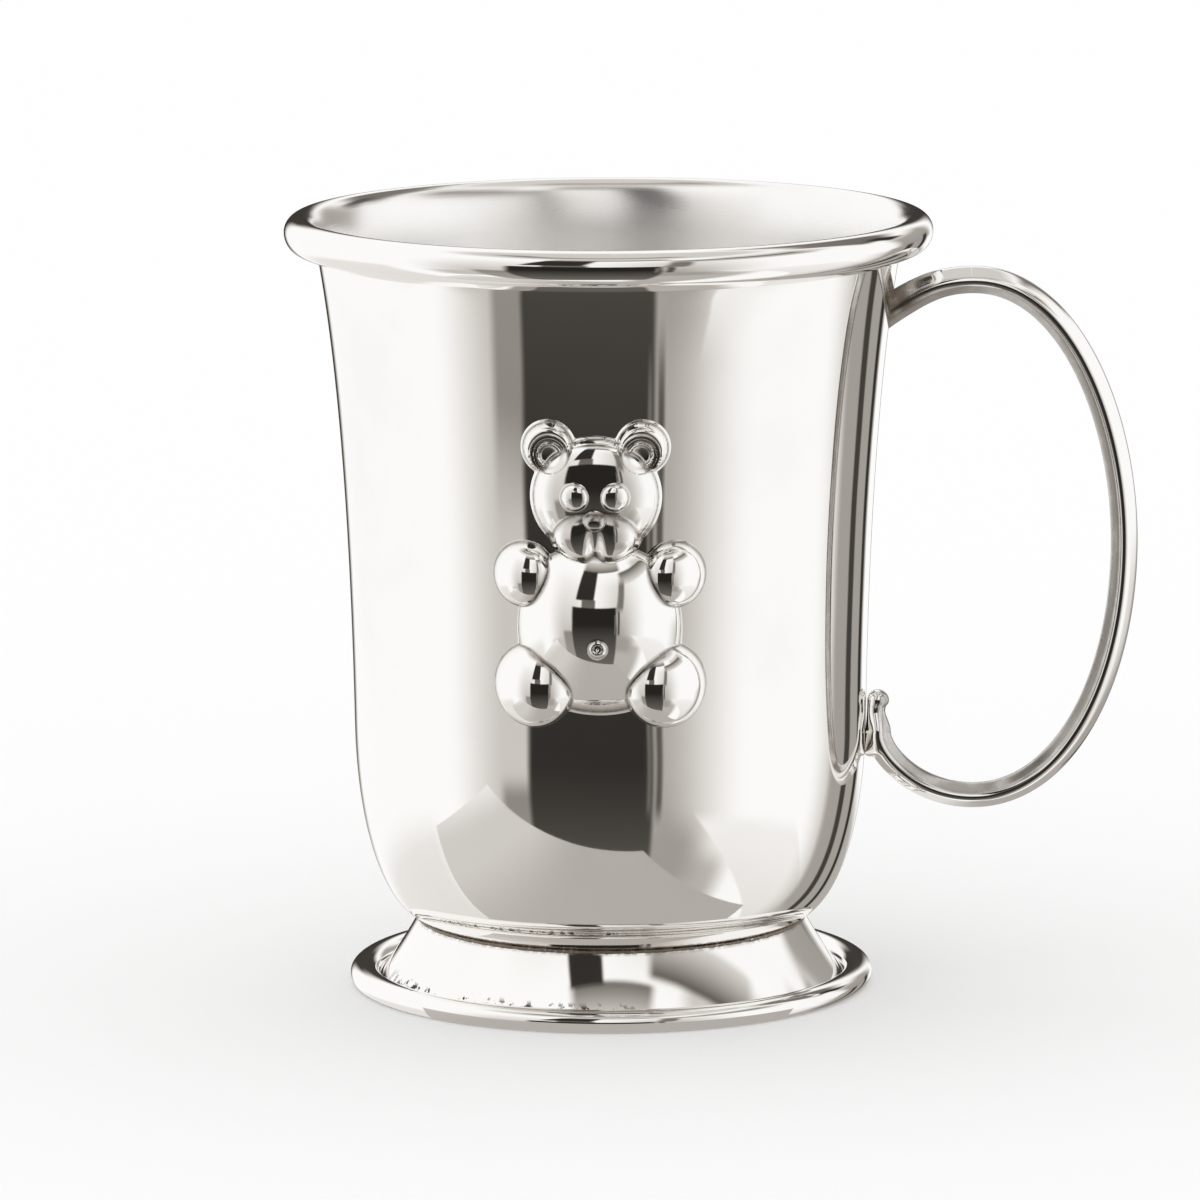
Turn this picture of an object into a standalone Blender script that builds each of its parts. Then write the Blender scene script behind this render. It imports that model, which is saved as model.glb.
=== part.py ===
"""Baby cup in polished silver plate.

A spun bowl with a bead round its lip stands on a trumpet foot with a bead round its edge.
A cast handle shaped like an ear ends in a ball against the wall, and a seated teddy bear
in relief is fixed to the front. All lengths are in metres. The cup stands on z = 0, with
its handle towards +X and its bear facing -Y.
"""

import math

import bmesh
import bpy
from mathutils import Matrix, Vector
from mathutils.geometry import interpolate_bezier

# Whole cup
CUP_HEIGHT = 0.0843
CLEARANCE = 0.0003
TURN_STEPS = 56
MERGE_DISTANCE = 0.00001
SHARP_ANGLE = math.radians(35)

# Bowl, spun from sheet
BOWL_WALL = 0.0008
WAIST_RADIUS = 0.0278
WAIST_HEIGHT = 0.0288
WAIST_LEAN = 0.015
WALL_RUN = 0.0248
LIP_DROP = 0.0002
FLARE_DEPTH = 0.0121
FLARE_OUT = 0.0026
TURN_DROP = 0.0113
HEEL_OUT = 0.00405
HEEL_RISE = 0.00135
WALL_STEPS = 8
HEEL_STEPS = 8

# Bead round the lip
RIM_RADIUS = 0.0350
RIM_BEAD_WIDTH = 0.0025
RIM_BEAD_ROUND = 0.00185
RIM_BEAD_UPPER = 0.0018
RIM_BEAD_LOWER = 0.0021
RIM_BEAD_DEPTH = 0.0046
RIM_BEAD_END = -72
RIM_BEAD_STEP = 18

# Foot, spun from sheet and open below
SEAT_HEIGHT = 0.00755
NECK_RADIUS = 0.02095
FLANGE_WIDTH = 0.0060
FOOT_WALL = 0.0007
FOOT_EDGE_HEIGHT = 0.0010
NECK_OUT = 0.00117
NECK_DROP = 0.00221
SKIRT_IN = 0.00156
SKIRT_RISE = 0.00196
SKIRT_STEPS = 7

# Bead round the foot: an oval wire with its nose low on the outside, flat where it rests
FOOT_RADIUS = 0.0285
FOOT_BEAD_WIDTH = 0.0030
FOOT_BEAD_HEIGHT = 0.0023
FOOT_NOSE_HEIGHT = 0.00105
FOOT_CREST_IN = 0.0016
FOOT_FLAT_IN = 0.0010
FOOT_FLAT_WIDTH = 0.0011
FOOT_BEAD_STEPS = 4

# Line of solder in the corner between bowl and foot
SOLDER_RADIUS = 0.00035
SOLDER_GAP = 0.00015
SOLDER_SIDES = 8

# Handle: a strap of lozenge section with rounded ridges, whose middle follows an ear-shaped line
HANDLE_REACH = 0.0572
HANDLE_WIDTH = 0.0038
HANDLE_THICKNESS = 0.0029
HANDLE_RIDGE_ROUND = 0.00065
ROOT_DROP = 0.0117
ROOT_SINK = 0.0020
ROOT_RISE = 0.0030
ROOT_PULL = 0.0048
CROWN_DROP = 0.0072
CROWN_OUT = 0.0395
CROWN_PULL_IN = 0.0045
CROWN_PULL_OUT = 0.0100
SIDE_HEIGHT = 0.0485
SIDE_PULL_UP = 0.0140
SIDE_PULL_DOWN = 0.0150
SWEEP_OUT = 0.0394
SWEEP_HEIGHT = 0.0206
SWEEP_PULL_OUT = 0.0100
SWEEP_PULL_IN = 0.0060
LANDING_HEIGHT = 0.0276
LANDING_PULL = 0.0026
ROOT_SCALE = 1.15
CROWN_SCALE = 1.02
SWEEP_SCALE = 0.95
LANDING_SCALE = 0.95
TIP_SCALE = 0.60
BALL_HEIGHT = 0.0310
BALL_RADIUS = 0.0012
RIDGE_STEPS = 2
HANDLE_STEPS = 10

# Bear, struck in relief; each lobe is (across, up, half width, half height, rise, base)
BEAR_LIFT = 0.0039
BEAR_HEAD = (0.0, 0.0080, 0.0068, 0.0061, 0.0026, 0.0)
BEAR_TORSO = (0.0, -0.0063, 0.0086, 0.0088, 0.0036, 0.0)
BEAR_MUZZLE = (0.0, 0.00335, 0.0043, 0.0027, 0.0030, 0.0)
BEAR_NOSE = (0.0, 0.0058, 0.00105, 0.0010, 0.0011, 0.0030)
BEAR_NAVEL = (0.0, -0.0076, 0.00093, 0.00093, 0.0007, 0.0032)
BEAR_EAR = (0.0050, 0.01345, 0.00265, 0.00265, 0.0018, 0.0)
BEAR_EAR_DISH = (0.0046, 0.0126, 0.0016, 0.0016, 0.0009, 0.0018)
BEAR_EYE = (0.0020, 0.00825, 0.00142, 0.00142, 0.0012, 0.0020)
BEAR_CHEEK = (0.0021, 0.0032, 0.0023, 0.0026, 0.0022, 0.0014)
BEAR_PAW = (0.00805, -0.0004, 0.00315, 0.0033, 0.0026, 0.0008)
BEAR_LEG = (0.00695, -0.0122, 0.00415, 0.00415, 0.0032, 0.0010)
LOBE_SEGMENTS = 18
LOBE_RINGS = 10

# Finish of the silver and of the solder
SILVER = (0.91, 0.89, 0.85)
SILVER_ROUGHNESS = 0.08
SOLDER_COLOUR = (0.50, 0.43, 0.35)
SOLDER_ROUGHNESS = 0.55

# Share of a quarter's tangents that draws it as an oval
QUARTER_PULL = 0.55

# Sizes that follow from those above
LIP_HEIGHT = CUP_HEIGHT - LIP_DROP
LIP_RADIUS = RIM_RADIUS - RIM_BEAD_WIDTH - CLEARANCE
AXIS_OFFSET = (HANDLE_REACH - RIM_RADIUS) / 2
BEAR_HEIGHT = (SEAT_HEIGHT + CUP_HEIGHT) / 2 + BEAR_LIFT


def clear_scene():
    for obj in list(bpy.data.objects):
        bpy.data.objects.remove(obj)


def new_collection(name):
    collection = bpy.data.collections.new(name)
    bpy.context.scene.collection.children.link(collection)
    return collection


def metal(name, colour=SILVER, roughness=SILVER_ROUGHNESS):
    material = bpy.data.materials.new(name)
    material.use_nodes = True
    shader = material.node_tree.nodes["Principled BSDF"]
    shader.inputs["Base Color"].default_value = (*colour, 1.0)
    shader.inputs["Metallic"].default_value = 1.0
    shader.inputs["Roughness"].default_value = roughness
    material.diffuse_color = (*colour, 1.0)
    return material


def add_part(name, data, collection, axis, material=None):
    """A new object that stands on the cup's axis."""
    obj = bpy.data.objects.new(name, data)
    collection.objects.link(obj)
    obj.parent = axis
    if material:
        data.materials.append(material)
    return obj


def make_helper(obj):
    obj.hide_render = True
    obj.display_type = "WIRE"


def bezier(start, start_handle, end_handle, end, steps):
    """Points of a cubic curve in the (radius, height) plane, both ends included."""
    corners = [Vector((radius, 0, height)) for radius, height in (start, start_handle, end_handle, end)]
    return [(point.x, point.z) for point in interpolate_bezier(*corners, steps + 1)]


def shifted(points, distance):
    """The same run of points moved to its left by distance, square to the run."""
    moved = []
    last = len(points) - 1
    for index, (radius, height) in enumerate(points):
        before = Vector(points[max(index - 1, 0)])
        after = Vector(points[min(index + 1, last)])
        along = (after - before).normalized()
        moved.append((radius - along.y * distance, height + along.x * distance))
    return moved


def bowl_outside():
    """Outer face of the bowl, from the lip down to the corner where the foot starts."""
    lip = (LIP_RADIUS, LIP_HEIGHT)
    below_lip = (LIP_RADIUS - FLARE_OUT, LIP_HEIGHT - FLARE_DEPTH)
    waist = (WAIST_RADIUS, WAIST_HEIGHT)
    above_waist = (WAIST_RADIUS + WAIST_LEAN * WALL_RUN, WAIST_HEIGHT + WALL_RUN)
    below_waist = (WAIST_RADIUS - WAIST_LEAN * TURN_DROP, WAIST_HEIGHT - TURN_DROP)
    corner = (NECK_RADIUS, SEAT_HEIGHT)
    heel = (NECK_RADIUS + HEEL_OUT, SEAT_HEIGHT + HEEL_RISE)
    flare = bezier(lip, below_lip, above_waist, waist, WALL_STEPS)
    turn = bezier(waist, below_waist, heel, corner, HEEL_STEPS)
    return flare + turn[1:]


def bowl_radius(height):
    """Outer radius of the bowl at a height."""
    outside = bowl_outside()
    for (upper_radius, upper), (lower_radius, lower) in zip(outside, outside[1:]):
        if lower <= height:
            break
    share = (height - lower) / (upper - lower)
    return lower_radius + share * (upper_radius - lower_radius)


def turned(name, points, closed, collection, axis, material=None):
    """A solid of revolution from a profile that runs down its outer side."""
    mesh = bpy.data.meshes.new(name)
    shape = bmesh.new()
    corners = [shape.verts.new((radius, 0, height)) for radius, height in points]
    ends = corners[1:] + corners[:1] if closed else corners[1:]
    for first, second in zip(corners, ends):
        shape.edges.new((first, second))
    shape.to_mesh(mesh)
    shape.free()
    obj = add_part(name, mesh, collection, axis, material)
    screw = obj.modifiers.new("turn", "SCREW")
    screw.steps = TURN_STEPS
    screw.render_steps = TURN_STEPS
    screw.use_merge_vertices = True
    screw.merge_threshold = MERGE_DISTANCE
    screw.use_smooth_shade = True
    return obj


def make_bowl(collection, axis):
    outside = bowl_outside()
    floor = SEAT_HEIGHT + BOWL_WALL
    inside = [(radius, max(height, floor)) for radius, height in shifted(outside, -BOWL_WALL)]
    profile = [(0, floor)] + inside[::-1] + outside + [(0, SEAT_HEIGHT)]
    return turned("bowl", profile, False, collection, axis, metal("bowl_silver"))


def make_bowl_clearance(collection, axis):
    """A filled bowl, one clearance larger, that trims what is fixed to the wall."""
    outside = shifted(bowl_outside(), CLEARANCE)
    top = CUP_HEIGHT + RIM_BEAD_DEPTH
    profile = [(0, top), (outside[0][0], top)] + outside + [(0, outside[-1][1])]
    cutter = turned("bowl_clearance", profile, False, collection, axis)
    make_helper(cutter)
    return cutter


def make_rim_bead(collection, axis):
    centre_radius = RIM_RADIUS - RIM_BEAD_ROUND
    centre_height = CUP_HEIGHT - RIM_BEAD_UPPER
    profile = []
    for degrees in range(90, RIM_BEAD_END - 1, -RIM_BEAD_STEP):
        angle = math.radians(degrees)
        tall = RIM_BEAD_UPPER if degrees > 0 else RIM_BEAD_LOWER
        radius = centre_radius + RIM_BEAD_ROUND * math.cos(angle)
        profile.append((radius, centre_height + tall * math.sin(angle)))
    bottom = CUP_HEIGHT - RIM_BEAD_DEPTH
    for height in (bottom, (bottom + LIP_HEIGHT) / 2, LIP_HEIGHT):
        profile.append((bowl_radius(height) + CLEARANCE, height))
    return turned("rim_bead", profile, True, collection, axis, metal("rim_silver"))


def make_foot(collection, axis):
    top = SEAT_HEIGHT - CLEARANCE
    underside = top - FOOT_WALL
    edge = (FOOT_RADIUS - FOOT_BEAD_WIDTH - CLEARANCE, FOOT_EDGE_HEIGHT)
    neck = (NECK_RADIUS, top)
    below_neck = (NECK_RADIUS + NECK_OUT, top - NECK_DROP)
    skirt = (edge[0] - SKIRT_IN, edge[1] + SKIRT_RISE)
    outside = bezier(neck, below_neck, skirt, edge, SKIRT_STEPS)
    inside = [point for point in shifted(outside, -FOOT_WALL) if point[1] < underside]
    flange = NECK_RADIUS - FLANGE_WIDTH
    profile = [(flange, top)] + outside + inside[::-1] + [(inside[0][0], underside), (flange, underside)]
    return turned("foot", profile, True, collection, axis, metal("foot_silver"))


def quarter_round(start, corner, end, steps):
    """A quarter of an oval from start to end, inside the corner where its end tangents cross."""
    start, corner, end = Vector(start), Vector(corner), Vector(end)
    return bezier(start, start.lerp(corner, QUARTER_PULL), end.lerp(corner, QUARTER_PULL), end, steps)


def make_foot_bead(collection, axis):
    inner = FOOT_RADIUS - FOOT_BEAD_WIDTH
    crest = FOOT_RADIUS - FOOT_CREST_IN
    flat = FOOT_RADIUS - FOOT_FLAT_IN
    flat_end = flat - FOOT_FLAT_WIDTH
    nose, top = FOOT_NOSE_HEIGHT, FOOT_BEAD_HEIGHT
    profile = quarter_round((crest, top), (FOOT_RADIUS, top), (FOOT_RADIUS, nose), FOOT_BEAD_STEPS)
    profile += quarter_round((FOOT_RADIUS, nose), (FOOT_RADIUS, 0), (flat, 0), FOOT_BEAD_STEPS)[1:]
    profile += quarter_round((flat_end, 0), (inner, 0), (inner, nose), FOOT_BEAD_STEPS)
    profile += quarter_round((inner, nose), (inner, top), (crest, top), FOOT_BEAD_STEPS)[1:-1]
    return turned("foot_bead", profile, True, collection, axis, metal("foot_bead_silver"))


def make_foot_solder(collection, axis):
    """A thin ring that lies in the corner between the bowl's heel and the foot's neck."""
    heel_angle = math.atan2(HEEL_RISE, HEEL_OUT)
    neck_angle = math.atan2(-NECK_DROP, NECK_OUT)
    middle = (heel_angle + neck_angle) / 2
    reach = (SOLDER_RADIUS + SOLDER_GAP) / math.sin((heel_angle - neck_angle) / 2)
    centre_radius = NECK_RADIUS + reach * math.cos(middle)
    centre_height = SEAT_HEIGHT + reach * math.sin(middle)
    profile = []
    for side in range(SOLDER_SIDES):
        angle = -2 * math.pi * side / SOLDER_SIDES
        radius = centre_radius + SOLDER_RADIUS * math.cos(angle)
        profile.append((radius, centre_height + SOLDER_RADIUS * math.sin(angle)))
    solder = metal("solder", SOLDER_COLOUR, SOLDER_ROUGHNESS)
    return turned("foot_solder", profile, True, collection, axis, solder)


def make_handle_section(collection, axis):
    """The lozenge that is swept: rounded ridges in the middle of its faces and at both edges."""
    curve = bpy.data.curves.new("handle_section", "CURVE")
    curve.dimensions = "2D"
    across = HANDLE_WIDTH / 2 - HANDLE_RIDGE_ROUND
    out = HANDLE_THICKNESS / 2 - HANDLE_RIDGE_ROUND
    lean = math.atan2(across, out)
    points = []
    for quarter in range(4):
        middle = quarter * math.pi / 2
        spread = lean if quarter % 2 == 0 else math.pi / 2 - lean
        for step in range(RIDGE_STEPS + 1):
            turn = middle + spread * (2 * step / RIDGE_STEPS - 1)
            round_off = Vector((math.cos(turn), math.sin(turn))) * HANDLE_RIDGE_ROUND
            points.append(Vector((across * math.cos(middle), out * math.sin(middle))) + round_off)
    spline = curve.splines.new("POLY")
    spline.points.add(len(points) - 1)
    for point, place in zip(spline.points, points):
        point.co = (place.x, place.y, 0, 1)
    spline.use_cyclic_u = True
    section = add_part("handle_section", curve, collection, axis)
    make_helper(section)
    return section


def handle_line():
    """Points of the handle's middle: (place, handle before, handle after, section scale), in x and z."""
    root_height = CUP_HEIGHT - ROOT_DROP
    root = Vector((bowl_radius(root_height) - ROOT_SINK, root_height))
    lean = Vector((ROOT_PULL, ROOT_RISE))
    crown = Vector((CROWN_OUT, CUP_HEIGHT - CROWN_DROP))
    side = Vector((HANDLE_REACH - HANDLE_THICKNESS / 2, SIDE_HEIGHT))
    sweep = Vector((SWEEP_OUT, SWEEP_HEIGHT))
    seat = bowl_radius(LANDING_HEIGHT) + CLEARANCE
    landing = Vector((seat + LANDING_SCALE * HANDLE_THICKNESS / 2, LANDING_HEIGHT))
    tip = Vector((ball_place().x, BALL_HEIGHT - BALL_RADIUS / 2))
    upward = Vector((0, LANDING_PULL))
    short = Vector((0, (tip.y - landing.y) / 2))
    return [
        (root, root - lean, root + lean, ROOT_SCALE),
        (crown, crown - Vector((CROWN_PULL_IN, 0)), crown + Vector((CROWN_PULL_OUT, 0)), CROWN_SCALE),
        (side, side + Vector((0, SIDE_PULL_UP)), side - Vector((0, SIDE_PULL_DOWN)), 1.0),
        (sweep, sweep + Vector((SWEEP_PULL_OUT, 0)), sweep - Vector((SWEEP_PULL_IN, 0)), SWEEP_SCALE),
        (landing, landing - upward, landing + short, LANDING_SCALE),
        (tip, tip - short, tip + short, TIP_SCALE),
    ]


def make_handle_strap(section, collection, axis):
    """The swept strap as a curve, from inside the wall to the neck below the ball."""
    curve = bpy.data.curves.new("handle_strap", "CURVE")
    curve.dimensions = "3D"
    curve.resolution_u = HANDLE_STEPS
    curve.bevel_mode = "OBJECT"
    curve.bevel_object = section
    curve.use_fill_caps = True
    line = handle_line()
    spline = curve.splines.new("BEZIER")
    spline.bezier_points.add(len(line) - 1)
    for point, (place, before, after, scale) in zip(spline.bezier_points, line):
        point.handle_left_type = point.handle_right_type = "FREE"
        point.co = (place.x, 0, place.y)
        point.handle_left = (before.x, 0, before.y)
        point.handle_right = (after.x, 0, after.y)
        point.radius = scale
    return add_part("handle_strap", curve, collection, axis)


def make_handle(parts, cutters, axis, clearance):
    section = make_handle_section(cutters, axis)
    strap = make_handle_strap(section, cutters, axis)
    bpy.context.view_layer.update()
    graph = bpy.context.evaluated_depsgraph_get()
    mesh = bpy.data.meshes.new_from_object(strap.evaluated_get(graph))
    mesh.name = "handle"
    bpy.data.objects.remove(strap)
    shape = bmesh.new()
    shape.from_mesh(mesh)
    bmesh.ops.remove_doubles(shape, verts=shape.verts, dist=MERGE_DISTANCE)
    bmesh.ops.recalc_face_normals(shape, faces=shape.faces)
    shape.to_mesh(mesh)
    shape.free()
    mesh.materials.clear()
    handle = add_part("handle", mesh, parts, axis, metal("handle_silver"))
    ball = make_lobe("handle_ball", Matrix.Translation(ball_place()), (BALL_RADIUS,) * 3, cutters, axis)
    combine(handle, "ball", "UNION", ball)
    combine(handle, "wall", "DIFFERENCE", clearance)
    smooth(handle)
    return handle


def ball_place():
    return Vector((bowl_radius(BALL_HEIGHT) + CLEARANCE + BALL_RADIUS, 0, BALL_HEIGHT))


def make_lobe(name, placed, sizes, collection, axis):
    """An ellipsoid with the given half sizes, as a helper for a union or a cut."""
    mesh = bpy.data.meshes.new(name)
    shape = bmesh.new()
    bmesh.ops.create_uvsphere(shape, u_segments=LOBE_SEGMENTS, v_segments=LOBE_RINGS, radius=1.0)
    bmesh.ops.transform(shape, matrix=Matrix.Diagonal((*sizes, 1.0)), verts=shape.verts)
    shape.to_mesh(mesh)
    shape.free()
    lobe = add_part(name, mesh, collection, axis)
    lobe.matrix_local = placed
    make_helper(lobe)
    return lobe


def combine(obj, name, operation, other):
    modifier = obj.modifiers.new(name, "BOOLEAN")
    modifier.operation = operation
    modifier.object = other
    modifier.solver = "EXACT"


def smooth(obj):
    obj.data.shade_smooth()
    obj.data.set_sharp_from_angle(angle=SHARP_ANGLE)


def on_wall(across, up, out):
    """Placement on the bowl's front, with local Y pointing out of the wall."""
    height = BEAR_HEIGHT + up
    radius = bowl_radius(height)
    turn = Matrix.Rotation(across / radius - math.pi, 4, "Z")
    return turn @ Matrix.Translation((0, radius + out, height))


def make_bear_lobe(name, lobe, side, collection, axis):
    across, up, half_width, half_height, rise, base = lobe
    placed = on_wall(side * across, up, base)
    return make_lobe(name, placed, (half_width, rise, half_height), collection, axis)


def make_bear(parts, cutters, axis, clearance):
    bear = make_bear_lobe("bear", BEAR_TORSO, 1, parts, axis)
    bear.hide_render = False
    bear.display_type = "TEXTURED"
    bear.data.materials.append(metal("bear_silver"))
    middle = (("head", BEAR_HEAD), ("muzzle", BEAR_MUZZLE), ("nose", BEAR_NOSE), ("navel", BEAR_NAVEL))
    for name, lobe in middle:
        combine(bear, name, "UNION", make_bear_lobe("bear_" + name, lobe, 1, cutters, axis))
    pairs = (("ear", BEAR_EAR), ("eye", BEAR_EYE), ("cheek", BEAR_CHEEK), ("paw", BEAR_PAW), ("leg", BEAR_LEG))
    for name, lobe in pairs:
        for side, side_name in ((-1, "left"), (1, "right")):
            full_name = name + "_" + side_name
            combine(bear, full_name, "UNION", make_bear_lobe("bear_" + full_name, lobe, side, cutters, axis))
    for side, side_name in ((-1, "left"), (1, "right")):
        dish = make_bear_lobe("bear_dish_" + side_name, BEAR_EAR_DISH, side, cutters, axis)
        combine(bear, "dish_" + side_name, "DIFFERENCE", dish)
    combine(bear, "wall", "DIFFERENCE", clearance)
    smooth(bear)
    return bear


def main():
    clear_scene()
    parts = new_collection("baby_cup")
    cutters = new_collection("cutters")
    axis = bpy.data.objects.new("cup_axis", None)
    axis.location = (-AXIS_OFFSET, 0, 0)
    parts.objects.link(axis)
    make_bowl(parts, axis)
    make_rim_bead(parts, axis)
    make_foot(parts, axis)
    make_foot_bead(parts, axis)
    make_foot_solder(parts, axis)
    clearance = make_bowl_clearance(cutters, axis)
    make_handle(parts, cutters, axis, clearance)
    make_bear(parts, cutters, axis, clearance)


main()
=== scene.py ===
"""Looks of a baby cup in polished silver plate.

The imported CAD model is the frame. Every piece here stands for one CAD node, at the same place and
size, with fine surfaces and the finish of the real cup: mirror polish outside, satin inside, rough
solder where the foot joins the bowl. All lengths are in metres.
"""

import math

import bmesh
import bpy
import numpy as np
from bpy.props import FloatProperty, FloatVectorProperty, PointerProperty
from mathutils import Matrix, Vector, noise
from mathutils.geometry import interpolate_bezier


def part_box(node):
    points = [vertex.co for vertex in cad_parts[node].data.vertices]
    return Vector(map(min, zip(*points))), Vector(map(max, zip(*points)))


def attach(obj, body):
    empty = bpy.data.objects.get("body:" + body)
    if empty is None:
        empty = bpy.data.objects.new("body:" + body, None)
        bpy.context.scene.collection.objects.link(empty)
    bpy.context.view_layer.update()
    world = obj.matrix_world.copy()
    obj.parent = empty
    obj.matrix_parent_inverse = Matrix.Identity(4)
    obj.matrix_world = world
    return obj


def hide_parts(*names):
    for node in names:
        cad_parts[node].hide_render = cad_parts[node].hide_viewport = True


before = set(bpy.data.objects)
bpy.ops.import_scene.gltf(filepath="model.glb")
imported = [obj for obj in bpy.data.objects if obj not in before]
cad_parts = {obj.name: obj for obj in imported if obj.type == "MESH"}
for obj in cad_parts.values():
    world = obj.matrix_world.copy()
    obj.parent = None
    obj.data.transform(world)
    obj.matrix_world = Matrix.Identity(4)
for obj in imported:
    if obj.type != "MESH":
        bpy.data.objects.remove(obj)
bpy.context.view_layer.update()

bl_info = {
    "name": "Baby cup",
    "version": (1, 0, 0),
    "blender": (4, 5, 0),
    "location": "View3D > Sidebar > Baby cup",
    "description": "Models a footed silver baby cup with a bear in relief, and the studio it stands in",
    "category": "Object",
}

# What the frame gives
RIM_LOW, RIM_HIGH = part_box("rim_bead")
FOOT_LOW, FOOT_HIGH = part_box("foot_bead")
HANDLE_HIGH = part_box("handle")[1]
BEAR_LOW, BEAR_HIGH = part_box("bear")
AXIS_X = (RIM_LOW.x + RIM_HIGH.x) / 2

# How finely the pieces are made
SPIN_STEPS = 288
SOLDER_SPIN_STEPS = 3 * SPIN_STEPS
FLARE_STEPS = 40
TURN_STEPS = 30
MOUTH_STEPS = 16
BEAD_STEPS = (20, 18, 6)
FOOT_STEPS = 32
WIRE_STEPS = (14, 12, 10, 12)
SOLDER_SIDES = 12
RIDGE_STEPS = 8
FACE_STEPS = 4
HANDLE_AROUND = 4 * (RIDGE_STEPS + FACE_STEPS)
ROOT_STEPS = 7
STRAP_STEPS = 44
NECK_STEPS = 30
BALL_STEPS = 14
WALL_TRIES = 8
RELIEF_STEP = 0.000112
RELIEF_SMOOTHING = 3
MERGE = 0.000001
SHARP_ANGLE = math.radians(32)

# Lip: how much the sheet thins and how fast its satin fades towards the edge, then how far the bead turns
# under, in degrees, and how it tucks in and lands on the wall
LIP_THINNING = 0.95
SATIN_FADE = 0.6
BEAD_TURN = -71
BEAD_TUCK = (0.0006, 0.00022)
BEAD_LANDING = (0.0005, 0)
BEAD_SINK = 0.00015
BEAD_GAP = 0.00002

# Wire round the foot: places on its section as shares of its size, and the fullness of its curves
WIRE_CREST = 0.52
WIRE_REST = (0.30, 0.66)
WIRE_BACK = 0.4
WIRE_FULLNESS = 0.58

# Solder: its section in shares of its radius, then its lumps as (scale, share of its radius)
SOLDER_MIDDLE = (0.2, -0.5)
SOLDER_SECTION = (0.75, 0.6)
SOLDER_LUMPS = ((600, 0.30), (1700, 0.18))

# Handle: the pulls of its line's four runs, leaving and arriving, and its section's scale at their ends
STRAP_RUNS = (
    ((0.0048, 0.0030), (0.0045, 0)),
    ((0.0100, 0), (0, -0.0140)),
    ((0, -0.0150), (-0.0100, 0)),
    ((-0.0060, 0), (0, 0.0026)),
)
STRAP_SCALES = (1.15, 1.02, 1.0, 0.95, 0.95)
STRAP_ROUNDNESS = 0.14
ROOT_SINK = 0.002
# Crotch: the gaps that solder fills wholly and not at all, the least lean towards the wall, and how far
# the solder runs into the sheet
CROTCH_GAPS = (0.0006, 0.0014)
CROTCH_LEAN = 0.3
CROTCH_SINK = 0.1
# Ball: where its neck ends on the way up, the neck's share of its radius, and how tightly the two blend
NECK_END = 0.75
NECK_WIDTH = 0.82
BALL_BLEND = 6
BALL_GAP = 0.0001
BALL_RIDGE = 0.9

# Patches in the polish: a noise's (scale, detail, roughness) and the (low, high) of its smooth step
SMEAR = ((55.0, 4.0, 0.6), (0.42, 0.75))
HAIRLINE = ((5200.0, 3.0, 0.7), (0.62, 0.80))
# The next two break up the brown film and painted shade in the bear's creases and on the handle
CREASE_FILM_AND_SHADE = ((900.0, 3.0, 0.6), (0.30, 0.62))
FILM_AND_SHADE_PATCHES = ((520.0, 3.0, 0.6), (0.25, 0.6))
SMEAR_TINT = 0.965
SMEAR_DULLING = 0.035
HAIRLINE_DULLING = 0.03
STAIN_DULLING = 0.35
WAVE_GRAIN = (1.0, 0.4)
# Satin and the bowl's slow swell: scales round the cup and along its profile, and heights of the bumps
BRUSH_SCALES = (3.0, 5200.0)
BRUSH_HEIGHT = 0.000010
CLOUD_SCALES = (5.0, 90.0)
SATIN_SPREAD = 0.12
SWELL_SCALE = 42.0
SWELL_HEIGHT = 0.00016
# Flux on the foot: its noise, then (low, high) of the steps by noise, by side and by height
SPECK_SCALES = (30.0, 700.0)
SPECK_ROUGHNESS = 0.55
SPECK_STEP = (0.54, 0.60)
SEAM_STEP = (0.30, 0.62)
SPECK_FRONT = (0.15, 0.5)
SPECK_RIGHT = (0.02, 0.25)
SPECK_LOW = (0.0018, 0.0026)
SPECK_HIGH = (0.0068, 0.0073)
SEAM_SHARE = 0.6
SPECK_DARKNESS = 3.0
# Brown film and painted shade: its (spread, least) in the bear's creases, where it is brown film and
# painted shade, at the handle's root, where it is painted shadow and a painted reflection of the rim with
# some brown film, and on its inner side, where it is painted shade; then the line it follows at the root
# and the (low, high) of its steps
CREASE_STAIN_AND_SHADE = (0.25, 0.72)
ROOT_FILM_AND_SHADE = (0.25, 0.7)
INNER_PAINTED_SHADE = (0.15, 0.37)
INNER_SHADE_STEP = (0.10, 0.55)
ROOT_SHADE_LINE = (0.848, 0.530)
ROOT_SHADE_EDGE = (-0.0002, 0.0006)
ROOT_SHADE_RUN = (0.002625, 0.0075)
# Rough solder: its noise, the step to bright metal, its roughness and the height of its grain
GRAIN = (2600.0, 4.0, 0.65)
GRAIN_STEP = (0.56, 0.78)
GRAIN_ROUGHNESS = (0.52, 0.30)
GRAIN_HEIGHT = 0.00006

# Bear in relief; each lobe is (across, up, half width, half height, rise, base, fullness),
# measured from the bear's middle. A small fullness makes a flat top with a steep side.
BEAR_LIFT = 0.0039
BEAR_TORSO = (0.0, -0.0063, 0.0086, 0.0088, 0.0044, 0.0007, 0.95)
TORSO_FLATNESS = 0.4
TORSO_TILT = 0.10
BEAR_HEAD = (0.0, 0.0080, 0.0066, 0.0061, 0.0026, 0.0002, 0.36)
BEAR_MUZZLE = (0.0, 0.0040, 0.0043, 0.0028, 0.0015, 0.0019, 0.36)
BEAR_PAW = (0.00805, -0.0004, 0.00310, 0.0032, 0.0018, 0.0015, 0.62)
BEAR_LEG = (0.00695, -0.0122, 0.00415, 0.00425, 0.0025, 0.0017, 0.68)
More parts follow.
